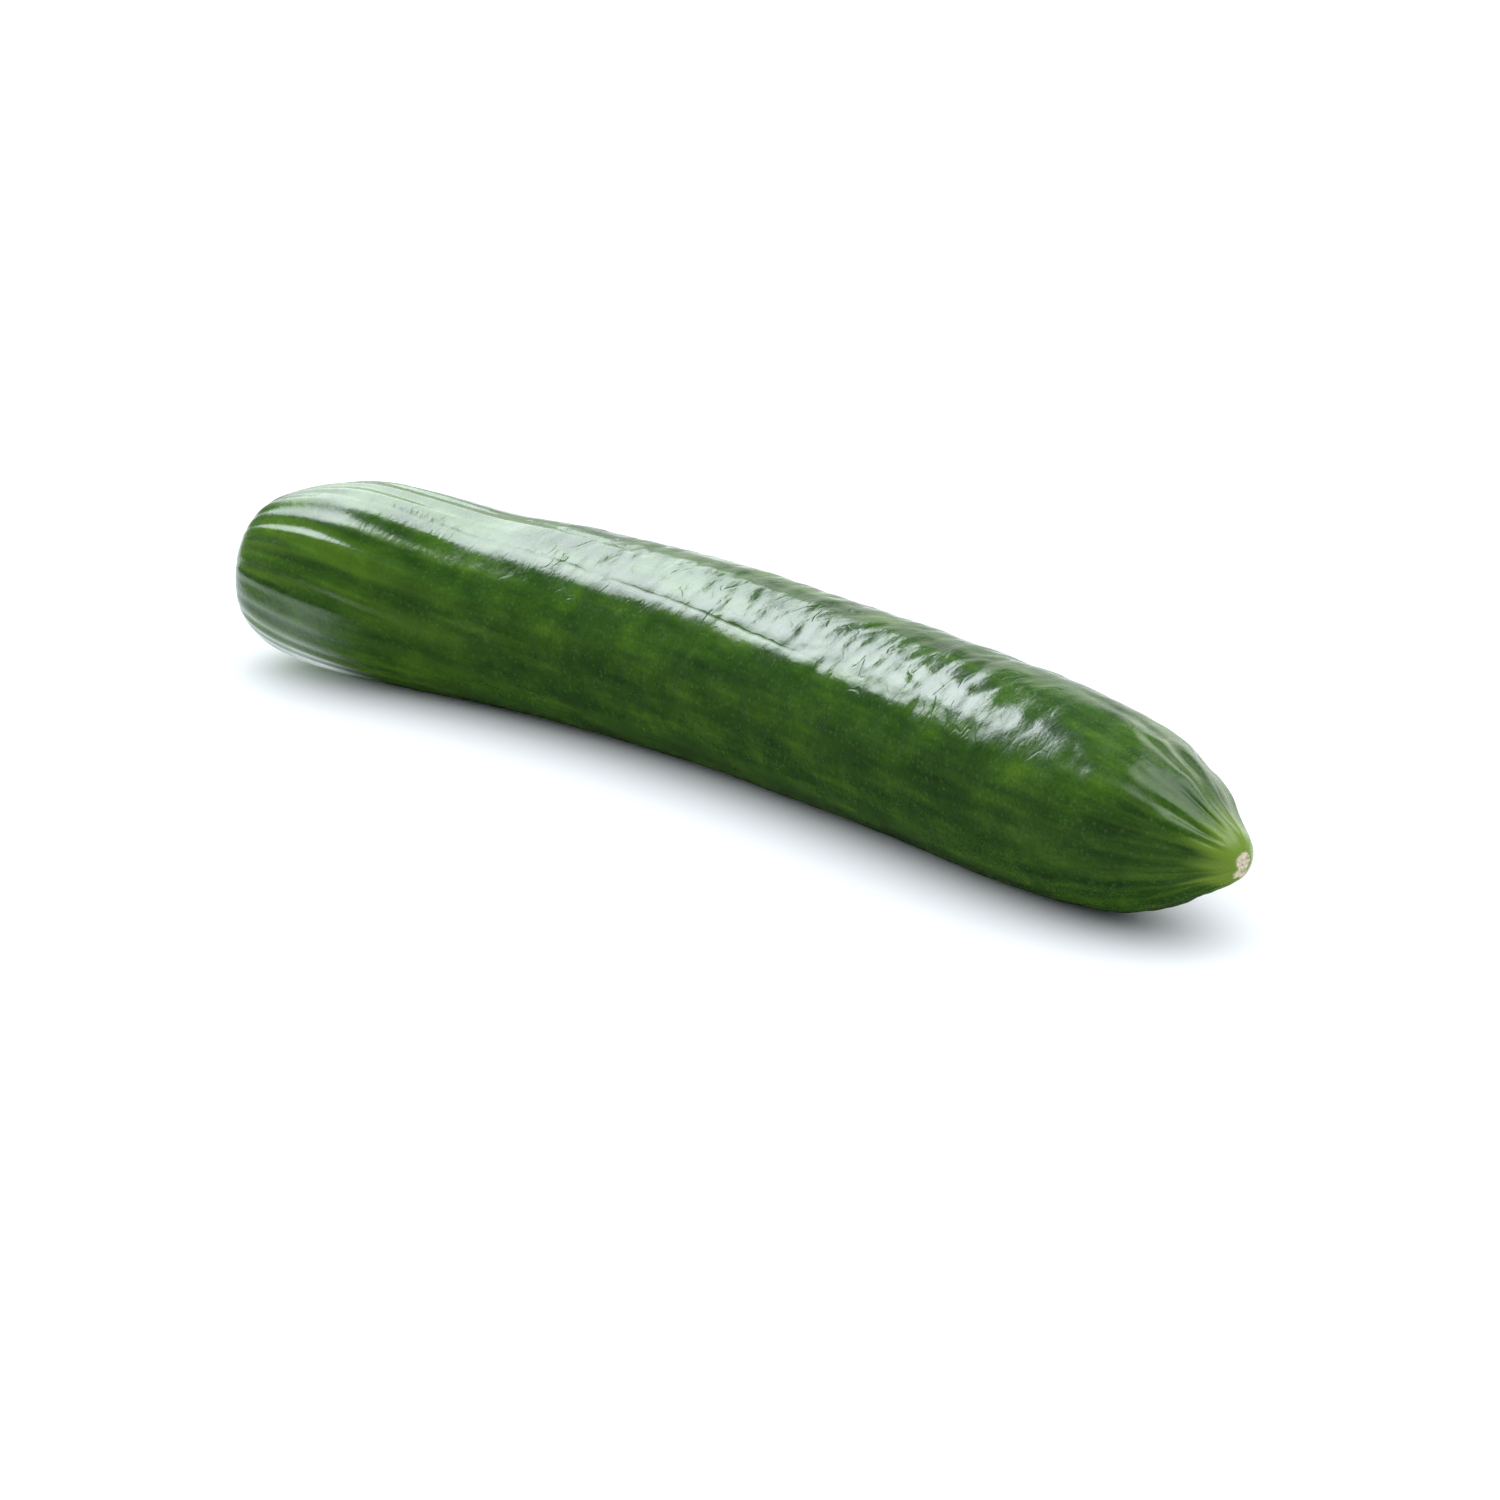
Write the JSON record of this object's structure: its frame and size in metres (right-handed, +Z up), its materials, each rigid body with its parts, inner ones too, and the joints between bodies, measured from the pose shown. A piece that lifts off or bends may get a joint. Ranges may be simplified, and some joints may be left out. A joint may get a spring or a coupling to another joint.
{
  "type": "cucumber",
  "caption": "Whole long cucumber lying on its side, slightly bowed, with a blunt ribbed stem end and a tapering blossom end.",
  "frame": {"origin": "middle of the underside of the bounding box, on the surface the cucumber rests on", "axes": "+X along the fruit towards the blossom end, +Z up from the resting surface, and the fruit bows sideways towards +Y"},
  "size_m": [0.303, 0.0658, 0.0452],
  "materials": {
    "cucumber_skin": "waxy natural skin, satin gloss, dark green with paler yellow-green streaks at the blossom end"
  },
  "bodies": {
    "root": {"cucumber": "cucumber_skin"}
  },
  "joints": []
}
